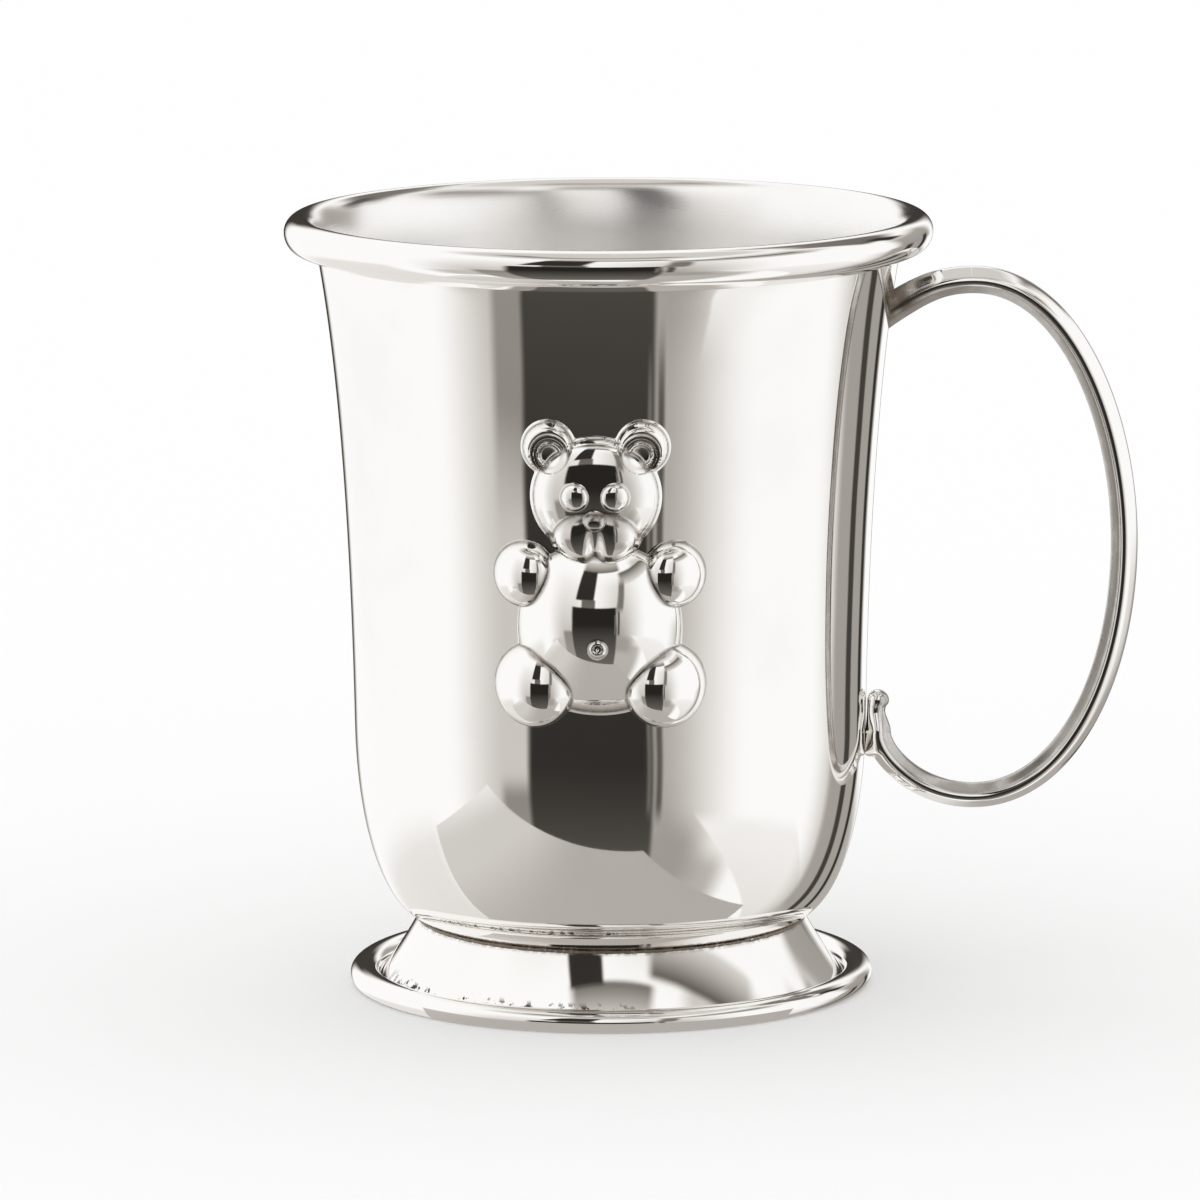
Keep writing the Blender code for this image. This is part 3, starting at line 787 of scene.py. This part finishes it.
class CUP_OT_handle(bpy.types.Operator):
    """Sweep the cast handle from the lip round to its ball"""

    bl_idname = "baby_cup.handle"
    bl_label = "Handle"

    def execute(self, context):
        bowl = context.scene.cup_bowl
        handle = context.scene.cup_handle
        shape = bmesh.new()
        rings = self.rings(bowl, handle)
        bmesh.ops.create_grid(shape, x_segments=len(rings) - 1, y_segments=HANDLE_AROUND, size=1)
        # inner marks the strap's inner side, which gets painted shade in its finish
        inner = shape.verts.layers.float.new("inner")
        for corner in shape.verts:
            ring = rings[round((corner.co.x + 1) / 2 * (len(rings) - 1))]
            place = round((corner.co.y + 1) / 2 * HANDLE_AROUND) % HANDLE_AROUND
            corner[inner] = max(0.0, -math.sin(2 * math.pi * (place - RIDGE_STEPS / 2) / HANDLE_AROUND))
            corner.co = ring[place]
        bmesh.ops.remove_doubles(shape, verts=shape.verts, dist=MERGE)
        bmesh.ops.holes_fill(shape, edges=[edge for edge in shape.edges if edge.is_boundary], sides=0)
        bmesh.ops.recalc_face_normals(shape, faces=shape.faces)
        add_piece("cast_handle", shape, handle_finish(context.scene), "handle")
        return {"FINISHED"}

    def knots(self, bowl, handle):
        """Places on the handle's line: its root, crown, outermost and lowest points, and its landing."""
        root_height = bowl.height - handle.root_drop
        root = Vector((bowl_radius(bowl, root_height) - ROOT_SINK, root_height))
        crown = Vector((handle.crown_out, bowl.height - handle.crown_drop))
        side = Vector((handle.reach - handle.rise, handle.side_height))
        sweep = Vector((handle.sweep_out, handle.sweep_height))
        landing_out = bowl_radius(bowl, handle.landing_height) + handle.rise * STRAP_SCALES[-1]
        return [root, crown, side, sweep, Vector((landing_out, handle.landing_height))]

    def line(self, bowl, handle):
        """Points of the handle's line from the root to the landing, and the section's scale at each."""
        knots = self.knots(bowl, handle)
        eased = [ease(step / STRAP_STEPS) for step in range(1, STRAP_STEPS + 1)]
        centres, scales = knots[:1], [STRAP_SCALES[0]]
        for index, (leave, arrive) in enumerate(STRAP_RUNS):
            start, end = knots[index:index + 2]
            scale, next_scale = STRAP_SCALES[index:index + 2]
            centres += curve(start, start + Vector(leave), end - Vector(arrive), end, STRAP_STEPS)[1:]
            scales += [scale + (next_scale - scale) * step for step in eased]
        return centres, scales

    def rings(self, bowl, handle):
        """Rings of points along the handle, from the wall to the top of the ball."""
        centres, scales = self.line(bowl, handle)
        rings = []
        last = len(centres) - 1
        for index, (centre, scale) in enumerate(zip(centres, scales)):
            before, after = centres[max(index - 1, 0)], centres[min(index + 1, last)]
            along = (after - before).normalized()
            sizes = (handle.width / 2 * scale, handle.rise * scale)
            out = Vector((-along.y, along.x))
            lower = index > last / 2
            fill = self.crotch_fill(bowl, centre + out * sizes[1], out) if lower else 0.0
            ring = self.ring(centre, along, sizes, handle.ridge_round * scale, STRAP_ROUNDNESS, fill)
            if lower or min(self.clear_of_wall(bowl, point) for point in ring) > 0:
                rings.append(ring)
        rings = self.root_rings(bowl, handle, rings[0], (centres[1] - centres[0]).normalized()) + rings
        return rings + self.ball_rings(bowl, handle, centres[-1])

    def ring(self, centre, along, sizes, ridge, roundness, fill=0.0):
        """One section: a lozenge with rounded ridges, an oval where roundness is 1, drawn out by fill."""
        width, rise = sizes
        out = Vector((-along.y, along.x))
        lean = math.degrees(math.atan2(width - ridge, rise - ridge))
        ridges = []
        for middle, corner in ((0, (width - ridge, 0)), (90, (0, rise - ridge)),
                               (180, (ridge - width, 0)), (270, (0, ridge - rise))):
            spread = lean if middle % 180 == 0 else 90 - lean
            ridges.append(arc(corner, ridge, ridge, middle - spread, middle + spread, RIDGE_STEPS))
        lozenge = []
        for this, following in zip(ridges, ridges[1:] + ridges[:1]):
            lozenge += this
            lozenge += [this[-1].lerp(following[0], step / FACE_STEPS) for step in range(1, FACE_STEPS)]
        points = []
        for index, corner in enumerate(lozenge):
            turn = 2 * math.pi * (index - RIDGE_STEPS / 2) / HANDLE_AROUND
            oval = Vector((width * math.cos(turn), rise * math.sin(turn)))
            corner = corner.lerp(oval, roundness)
            if corner.y > 0:
                corner.y *= 1 + fill / rise
            place = centre + out * corner.y
            points.append(Vector((AXIS_X + place.x, corner.x, place.y)))
        return points

    def clear_of_wall(self, bowl, point):
        """How far a point is outside the bowl's wall."""
        return math.hypot(point.x - AXIS_X, point.y) - bowl_radius(bowl, point.z)

    def root_rings(self, bowl, handle, first, along):
        """Rings from inside the wall's sheet out to the first clear ring, with a fillet of solder."""
        middle = sum(first, Vector()) / len(first)
        back = Vector((-along.x, 0, -along.y))
        on_wall = []
        for point in first:
            place = point.copy()
            for _ in range(WALL_TRIES):
                place += back * (self.clear_of_wall(bowl, place) + bowl.wall / 2) / along.x
            on_wall.append(place)
        rings = []
        for step in range(ROOT_STEPS):
            share_out = step / ROOT_STEPS
            swell = 1 - math.sqrt(1 - (1 - share_out) ** 2)
            ring = []
            for point, foot in zip(first, on_wall):
                away = point - middle
                away -= back * away.dot(back)
                ring.append(foot.lerp(point, share_out) + away.normalized() * handle.fillet * swell)
            rings.append(ring)
        return rings

    def crotch_fill(self, bowl, inner, out):
        """How far a section's inner side is drawn out to the wall by the solder in the crotch."""
        if out.x > -CROTCH_LEAN:
            return 0.0
        gap = 0.0
        for _ in range(WALL_TRIES):
            place = inner + out * gap
            gap += (place.x - bowl_radius(bowl, place.y)) / -out.x
        near, far = CROTCH_GAPS
        return (gap + bowl.wall * CROTCH_SINK) * (1 - ease((gap - near) / (far - near)))

    def ball_rings(self, bowl, handle, landing):
        """Rings up the neck and over the ball, which are one casting with the strap and lie on the wall."""
        radius, level = handle.ball_radius, handle.ball_height
        heights = [landing.y + (level - landing.y) * step / NECK_STEPS for step in range(1, NECK_STEPS + 1)]
        turns = [math.pi / 2 * step / BALL_STEPS for step in range(1, BALL_STEPS + 1)]
        heights += [level + radius * math.sin(turn) for turn in turns]
        scale = STRAP_SCALES[-1]
        strap = (handle.width / 2 * scale, handle.rise * scale)
        rings = []
        for height in heights:
            rise = (height - landing.y) / (level - landing.y)
            taper = ease(rise / NECK_END)
            fade = 1 - max(0, min((rise - NECK_END) / (1 - NECK_END), 1))
            globe = math.sqrt(max(radius ** 2 - (height - level) ** 2, 0))
            necks = [(size + (NECK_WIDTH * radius - size) * taper) * fade for size in strap]
            sizes = [(neck ** BALL_BLEND + globe ** BALL_BLEND) ** (1 / BALL_BLEND) for neck in necks]
            out = sizes[1] if rise < 1 else radius
            centre = Vector((bowl_radius(bowl, min(height, level)) + out + BALL_GAP * taper, height))
            ridge = min(handle.ridge_round * scale, BALL_RIDGE * min(sizes))
            roundness = STRAP_ROUNDNESS + (1 - STRAP_ROUNDNESS) * taper
            rings.append(self.ring(centre, Vector((0, 1)), sizes, ridge, roundness))
        return rings


class Relief:
    """Heights over the wall on a grid of places, with how deep each place lies in a crease."""

    def __init__(self, across, up):
        self.across = across
        self.up = up
        self.height = np.full_like(across, -1.0)
        self.crease = np.zeros_like(across)
        self.edge = np.full_like(across, 1.0)

    def reach(self, lobe, side=1, squareness=2.0, flatness=0.0):
        """Distance from a lobe's middle: 1 on its edge."""
        middle, level, half_width, half_height = lobe[:4]
        beside = np.abs(self.across - side * middle) / half_width
        beside = beside * np.sqrt(1 - flatness + flatness * beside ** 2)
        above = np.abs(self.up - level) / half_height
        return (beside ** squareness + above ** squareness) ** (1 / squareness)

    def dome(self, lobe, side=1, squareness=2.0, flatness=0.0):
        """A rounded form that falls away steeply outside its edge, and the distance past that edge."""
        half_width, half_height, rise, base, fullness = lobe[2:]
        reach = self.reach(lobe, side, squareness, flatness)
        past = (reach - 1) * min(half_width, half_height)
        inside = base + rise * np.clip(1 - reach * reach, 0, 1) ** fullness
        return np.where(past < 0, inside, base - SIDE_STEEPNESS * past), past

    def lay(self, form, past=None, crease=0.0):
        """Lays a form over the rest. The higher one shows, with a fillet and a crease where they meet."""
        apart = np.abs(self.height - form)
        near = np.clip(1 - apart / CREASE_FILLET, 0, 1)
        kept = np.where(form > self.height, crease, self.crease)
        self.crease = np.maximum(kept, np.clip(1 - apart / CREASE_WIDTH, 0, 1))
        self.height = np.maximum(self.height, form) + near * near * CREASE_FILLET / 4
        if past is not None:
            self.edge = np.minimum(self.edge, past)

    def add(self, lobe, side=1):
        """Adds a small form to what is there, with a crease round its edge."""
        half_width, _, rise, fullness = lobe[2:]
        reach = self.reach(lobe, side)
        self.height = self.height + rise * np.clip(1 - reach * reach, 0, 1) ** fullness
        rim = np.clip(1 - np.abs(reach - 1) * half_width / CREASE_FILLET, 0, 1)
        self.crease = np.maximum(self.crease, rim)

    def ear(self, side):
        """A round ring about a hollow with a fine ridge inside it, and the distance past the ring."""
        inner = np.hypot(self.across - side * EAR_DISH[0], self.up - EAR_DISH[1])
        outer = np.hypot(self.across - side * EAR_EDGE[0], self.up - EAR_EDGE[1])
        into, past = inner - EAR_DISH[2], outer - EAR_EDGE[2]
        width = np.maximum(into - past, CREASE_FILLET)
        rise, base = EAR_RING
        share_out = np.clip(into / width, 0, 1)
        ring = base + rise * (4 * share_out * (1 - share_out)) ** EAR_FULLNESS
        floor, slope = EAR_FLOOR
        ridge_radius, ridge_width, ridge_height = EAR_RIDGE
        hollow = floor + slope * (inner / EAR_DISH[2]) ** 2
        hollow = hollow + ridge_height * np.exp(-((inner - ridge_radius) / ridge_width) ** 2)
        form = np.where(into < 0, hollow, np.maximum(ring, floor + slope))
        form = np.where(past > 0, base - SIDE_STEEPNESS * past, form)
        depth, groove_width = EAR_GROOVE
        return form, past, np.exp(-((into + depth) / groove_width) ** 2) * (past < 0)


def bear_head(across, up):
    """The bear's head with its ears, muzzle, nose and eyes."""
    head = Relief(across - HEAD_SHIFT, up)
    for side in (-1, 1):
        head.lay(*head.ear(side))
    head.lay(*head.dome(BEAR_HEAD))
    muzzle, _ = head.dome(BEAR_MUZZLE, squareness=MUZZLE_SQUARENESS)
    lower = np.clip((CLEFT_TOP - up) / CLEFT_RUN, 0, CLEFT_MOST)
    head.lay(muzzle - CLEFT_DEPTH * lower * np.exp(-(head.across / CLEFT_WIDTH) ** 2))
    head.add(BEAR_NOSE)
    for side in (-1, 1):
        head.add(BEAR_EYE, side)
    return head


def bear_form(across, up):
    """The whole bear with the thin flange round its outline."""
    bear = Relief(across, up)
    torso, past = bear.dome(BEAR_TORSO, flatness=TORSO_FLATNESS)
    rise = up - BEAR_TORSO[1]
    eased = np.where(rise < 0, rise * (1 + np.clip(rise / BEAR_TORSO[3], -1, 0) / 2), rise)
    bear.lay(torso + TORSO_TILT * eased, past)
    bear.add(BEAR_NAVEL)
    bear.add(NAVEL_PIT)
    head = bear_head(across, up)
    bear.lay(head.height, head.edge, head.crease)
    for lobe in (BEAR_PAW, BEAR_LEG):
        for side in (-1, 1):
            form, past = bear.dome(lobe, side)
            bear.lay(form - LIMB_TILT * (up - lobe[1]), past)
    bear.lay(FLANGE_HEIGHT * np.clip((FLANGE_WIDTH - bear.edge) / FLANGE_BEVEL, -FLANGE_DROP, 1))
    return bear


class CUP_OT_bear(bpy.types.Operator):
    """Raise the bear in relief and bend it round the bowl's front"""

    bl_idname = "baby_cup.bear"
    bl_label = "Bear"

    def execute(self, context):
        bowl = context.scene.cup_bowl
        low, high = BEAR_LOW.z, BEAR_HIGH.z
        middle = (bowl.seat_height + bowl.height) / 2 + BEAR_LIFT
        half_width = (BEAR_HIGH.x - BEAR_LOW.x) / 2 + RELIEF_MARGIN
        half_height = max(high - middle, middle - low) + RELIEF_MARGIN
        shape = bmesh.new()
        columns, rows = round(2 * half_width / RELIEF_STEP), round(2 * half_height / RELIEF_STEP)
        bmesh.ops.create_grid(shape, x_segments=columns, y_segments=rows, size=1)
        bmesh.ops.scale(shape, vec=(half_width, half_height, 1), verts=shape.verts)
        places = np.array([corner.co[:2] for corner in shape.verts])
        bear = bear_form(places[:, 0], places[:, 1])
        # crease marks the bear's creases, which get brown film and painted shade in its finish
        marks = shape.verts.layers.float.new("crease")
        for corner, rise, crease in zip(shape.verts, bear.height, bear.crease):
            corner.co.z = rise
            corner[marks] = crease
        for _ in range(RELIEF_SMOOTHING):
            bmesh.ops.smooth_vert(shape, verts=shape.verts, factor=0.5, use_axis_z=True)
        everything = shape.verts[:] + shape.edges[:] + shape.faces[:]
        bmesh.ops.bisect_plane(shape, geom=everything, plane_co=(0, 0, RELIEF_CUT), plane_no=(0, 0, 1),
                               clear_inner=True)
        backs = bmesh.ops.extrude_face_region(shape, geom=shape.faces[:], use_keep_orig=True)["geom"]
        for corner in backs:
            if isinstance(corner, bmesh.types.BMVert):
                corner.co.z = -RELIEF_SINK
        bmesh.ops.recalc_face_normals(shape, faces=shape.faces)
        flat = np.array([corner.co for corner in shape.verts])
        heights = middle + flat[:, 1]
        radii = bowl_radius(bowl, heights) + flat[:, 2]
        turns = flat[:, 0] / radii
        bent = np.stack([AXIS_X + radii * np.sin(turns), -radii * np.cos(turns), heights], axis=1)
        for corner, place in zip(shape.verts, bent):
            corner.co = place
        add_piece("bear_relief", shape, bear_finish(context.scene.cup_finish), "bear")
        return {"FINISHED"}


# What the metal mirrors: panels in a white studio, later ones over earlier ones. Each is (name, left,
# right, low, high, softness across, softness up, lean, light at its bottom, light at its top).
# Azimuth is from the front towards the handle; angles are in degrees. A lean is how far the panel
# moves to the right for each degree up.
STUDIO_RADIUS = 3.0
STUDIO_WARMTH = 0.11
STUDIO_PANELS = (
    ("dark_behind", 170, 199, -14, 18, 5, 5, 0, 0.03, 0.05),
    ("dim_behind", 126, 160, -12, 21, 5, 6, 0, 0.30, 0.38),
    ("dim_back", 118, 165, 30, 56, 5, 4, 0, 0.14, 0.20),
    ("dark_back", 129, 143, 22, 36, 3, 3, 0, 0.03, 0.03),
    ("left_fall", -60, -20, -34, 44, 16, 10, 0, 0.46, 0.92),
    ("right_fall", 10, 45, -50, 44, 24, 10, 0, 0.18, 0.75),
    ("under_left", -66, -36, -40, -23.5, 8, 1.5, 0, 0.52, 0.55),
    ("right_low", 15, 60, -95, -31, 8, 4, 0, 0.40, 0.48),
    ("right_dim", 15, 44, -40, -24, 10, 5, 0, 0.34, 0.34),
    ("ground_right", 77, 135, -58, -22, 1, 2, -1.9, 0.76, 0.90),
    ("floor_left", 175, 273, -95, -22, 6, 4, 0, 0.66, 0.82),
    ("floor_right", 117, 185, -95, -10, 14, 4, 0, 0.38, 0.42),
    ("handle_side", 121, 156, -40, -6, 3, 3, 0, 0.36, 0.34),
    ("handle_line", 133.5, 139.5, -40, -5, 1, 3, 0, 0.05, 0.05),
    ("handle_edge", 149.5, 154.5, -40, 2, 1, 3, 0, 0.03, 0.03),
    ("side_white", 157, 174, -14, -5, 1.5, 2, 0, 1.0, 1.0),
    ("zenith", -180, 180, 62, 120, 1, 5, 0, 0.62, 0.62),
    ("zenith_line", -100, 60, 69, 76, 10, 2, 0, 0.28, 0.28),
    ("ceiling", -26, 32, 51.5, 62, 4, 1, 0, 0.12, 0.62),
    ("upper_side", 54, 108, 41, 56, 7, 4, 0, 0.58, 0.62),
    ("upper_right", 29, 95, 36, 49.5, 4, 1.5, 0, 0.72, 0.05),
    ("grey_side", -47.5, -20, -60, -16, 2.5, 2.5, 0, 0.36, 0.25),
    ("bar", -28.5, -5, 21, 52.5, 1.5, 1, 0.12, 0.025, 0.03),
    ("bar_foot", -22, -5, 6, 22, 1.5, 1, 0, 0.16, 0.12),
    ("strip", 24, 33, 8, 40, 2, 5, 0.2, 0.18, 0.18),
    ("dark_line", 22.5, 25.5, -22, 8, 1, 3, 0, 0.09, 0.09),
    ("dark_room", -34.2, 21, -60, 12.5, 2, 1.2, 0, 0.018, 0.018),
    ("dark_glow", -34.2, 21, -60, -10, 2, 4, 0, 0.14, 0.022),
    ("blue_line", 18.5, 20, -21, 4, 0.7, 2, 0, 0.15, 0.15),
)
# A grey sheet on the table before the cup, seen only by the metal, whose light is painted shade of the
# table in
# shadow there: its corners in metres from the cup's axis, its light in front of the cup and what it gains
# to the left, both by x.
SHADED_TABLE = ((-0.070, -0.022), (-0.089, -0.078), (0.015, -0.0588), (0.027, -0.020))
SHADED_TABLE_LIFT = 0.00005
SHADED_TABLE_LIGHT = 0.43
SHADED_TABLE_GAINS = ((0.008, 0.042, 0.19), (0.055, 0.088, 0.22))


class CUP_OT_stage(bpy.types.Operator):
    """Set up the world, the floor, the studio that the metal mirrors, and the camera"""

    bl_idname = "baby_cup.stage"
    bl_label = "Stage"

    def execute(self, context):
        stage = context.scene.cup_stage
        self.middle = Vector((AXIS_X, 0, stage.aim_height))
        self.add_world(context.scene)
        self.add_floor(stage)
        self.add_studio()
        self.add_camera(context.scene, stage)
        return {"FINISHED"}

    def add_world(self, scene):
        world = bpy.data.worlds.new("white_studio")
        world.use_nodes = True
        scene.world = world
        back = world.node_tree.nodes["Background"]
        back.inputs["Color"].default_value = (1, 1, 1, 1)
        back.inputs["Strength"].default_value = 1.0
        scene.view_settings.view_transform = "Standard"

    def add_floor(self, stage):
        shape = bmesh.new()
        bmesh.ops.create_grid(shape, x_segments=1, y_segments=1, size=6)
        finish = Finish("pale_floor")
        finish.set(Base_Color=rgba(stage.floor), Roughness=0.9, Specular_IOR_Level=0.0)
        floor = self.add_sheet("floor", shape, finish.material)
        floor.visible_glossy = False

    def add_sheet(self, name, shape, material):
        sheet = add_object(name, shape, material)
        return sheet

    def direction(self, azimuth, elevation):
        """A direction from the cup: azimuth from the front towards the handle, both in degrees."""
        turn, rise = math.radians(azimuth), math.radians(elevation)
        return Vector((math.sin(turn) * math.cos(rise), -math.cos(turn) * math.cos(rise), math.sin(rise)))

    def add_studio(self):
        """A dome round the cup with the studio's panels on it, and the sheet of painted table shade, which
        only the metal sees.
        """
        shape = bmesh.new()
        bmesh.ops.create_uvsphere(shape, u_segments=64, v_segments=32, radius=STUDIO_RADIUS)
        bmesh.ops.translate(shape, verts=shape.verts, vec=self.middle)
        self.show_to_metal_alone(self.add_sheet("studio", shape, self.studio_finish()))
        shape = bmesh.new()
        shape.faces.new([shape.verts.new((AXIS_X + x, y, SHADED_TABLE_LIFT)) for x, y in SHADED_TABLE])
        self.show_to_metal_alone(self.add_sheet("shaded_table", shape, self.shaded_table_finish()))

    def show_to_metal_alone(self, sheet):
        sheet.visible_camera = False
        sheet.visible_diffuse = False
        sheet.visible_shadow = False

    def shaded_table_finish(self):
        # The sheet's light is painted shade of the table before the cup, lighter to the left
        finish = Finish("shaded_table_sheet")
        x, _, _ = finish.split(finish.place())
        light = SHADED_TABLE_LIGHT
        for start, end, gain in SHADED_TABLE_GAINS:
            light = light + (x * -1).rise(start, end) * gain
        self.glow(finish, light)
        return finish.material

    def glow(self, finish, light):
        """Gives a sheet its light as a warm grey, since only white is quite neutral in this studio."""
        warmth = (1 - light) * STUDIO_WARMTH
        tone = finish.join(light * (1 + warmth), light, light * (1 - warmth))
        finish.set(Base_Color=(0, 0, 0, 1), Specular_IOR_Level=0.0)
        finish.set(Emission_Color=tone, Emission_Strength=1.0)

    def studio_finish(self):
        finish = Finish("studio_panels")
        where = finish.place(self.middle)
        where = finish.node("ShaderNodeVectorMath", {"operation": "NORMALIZE"}, {0: where})
        x, y, z = finish.split(where)
        degrees = math.degrees(1)
        azimuth = finish.math("ARCTAN2", x, y * -1) * degrees
        elevation = finish.math("ARCSINE", z, 0) * degrees
        light = 1.0
        for name, left, right, low, high, soft_across, soft_up, lean, dim, bright in STUDIO_PANELS:
            half_width, half_height = (right - left) / 2, (high - low) / 2
            up = elevation - (low + high) / 2
            across = azimuth - (left + right) / 2 - up * lean
            across = finish.node("ShaderNodeMath", {"operation": "WRAP"}, {0: across, 1: 180, 2: -180})
            beside = finish.math("ABSOLUTE", across, 0)
            beside = beside.rise(half_width - soft_across, half_width + soft_across)
            above = finish.math("ABSOLUTE", up, 0).rise(half_height - soft_up, half_height + soft_up)
            level = finish.node("ShaderNodeMapRange", {"label": name},
                                {"Value": elevation, 1: low, 2: high, 3: dim, 4: bright})
            light = light + (level - light) * (1 - beside) * (1 - above)
        self.glow(finish, light)
        return finish.material

    def add_camera(self, scene, stage):
        data = bpy.data.cameras.new("camera")
        data.lens = stage.lens
        data.sensor_width = 36
        data.shift_x = stage.shift_x
        data.shift_y = stage.shift_y
        data.clip_start = 0.01
        camera = bpy.data.objects.new("camera", data)
        scene.collection.objects.link(camera)
        back = self.direction(math.degrees(stage.turn), math.degrees(stage.pitch))
        facing = (-back).to_track_quat("-Z", "Y").to_matrix().to_4x4()
        lean = Matrix.Rotation(stage.roll, 4, "Z")
        camera.matrix_world = Matrix.Translation(self.middle + back * stage.distance) @ facing @ lean
        scene.camera = camera


class CUP_PT_panel(bpy.types.Panel):
    """Lists the sizes, the finish and the steps that make the cup"""

    bl_idname = "CUP_PT_panel"
    bl_label = "Baby cup"
    bl_space_type = "VIEW_3D"
    bl_region_type = "UI"
    bl_category = "Baby cup"

    def draw(self, context):
        for operator in OPERATORS:
            self.layout.operator(operator.bl_idname)
        for name in GROUPS:
            group = getattr(context.scene, name)
            box = self.layout.box()
            for key in group.__annotations__:
                box.prop(group, key)


GROUPS = {"cup_bowl": BowlSizes, "cup_foot": FootSizes, "cup_handle": HandleSizes, "cup_finish": CupFinish,
          "cup_stage": CupStage}
OPERATORS = (CUP_OT_stage, CUP_OT_bowl, CUP_OT_rim, CUP_OT_foot, CUP_OT_solder, CUP_OT_handle, CUP_OT_bear)


def register():
    for name, group in GROUPS.items():
        bpy.utils.register_class(group)
        setattr(bpy.types.Scene, name, PointerProperty(type=group))
    for operator in OPERATORS:
        bpy.utils.register_class(operator)
    bpy.utils.register_class(CUP_PT_panel)


def unregister():
    bpy.utils.unregister_class(CUP_PT_panel)
    for operator in reversed(OPERATORS):
        bpy.utils.unregister_class(operator)
    for name, group in GROUPS.items():
        delattr(bpy.types.Scene, name)
        bpy.utils.unregister_class(group)


def main():
    register()
    bpy.ops.baby_cup.stage()
    bpy.ops.baby_cup.bowl()
    bpy.ops.baby_cup.rim()
    bpy.ops.baby_cup.foot()
    bpy.ops.baby_cup.solder()
    bpy.ops.baby_cup.handle()
    bpy.ops.baby_cup.bear()


if __name__ == "__main__":
    main()
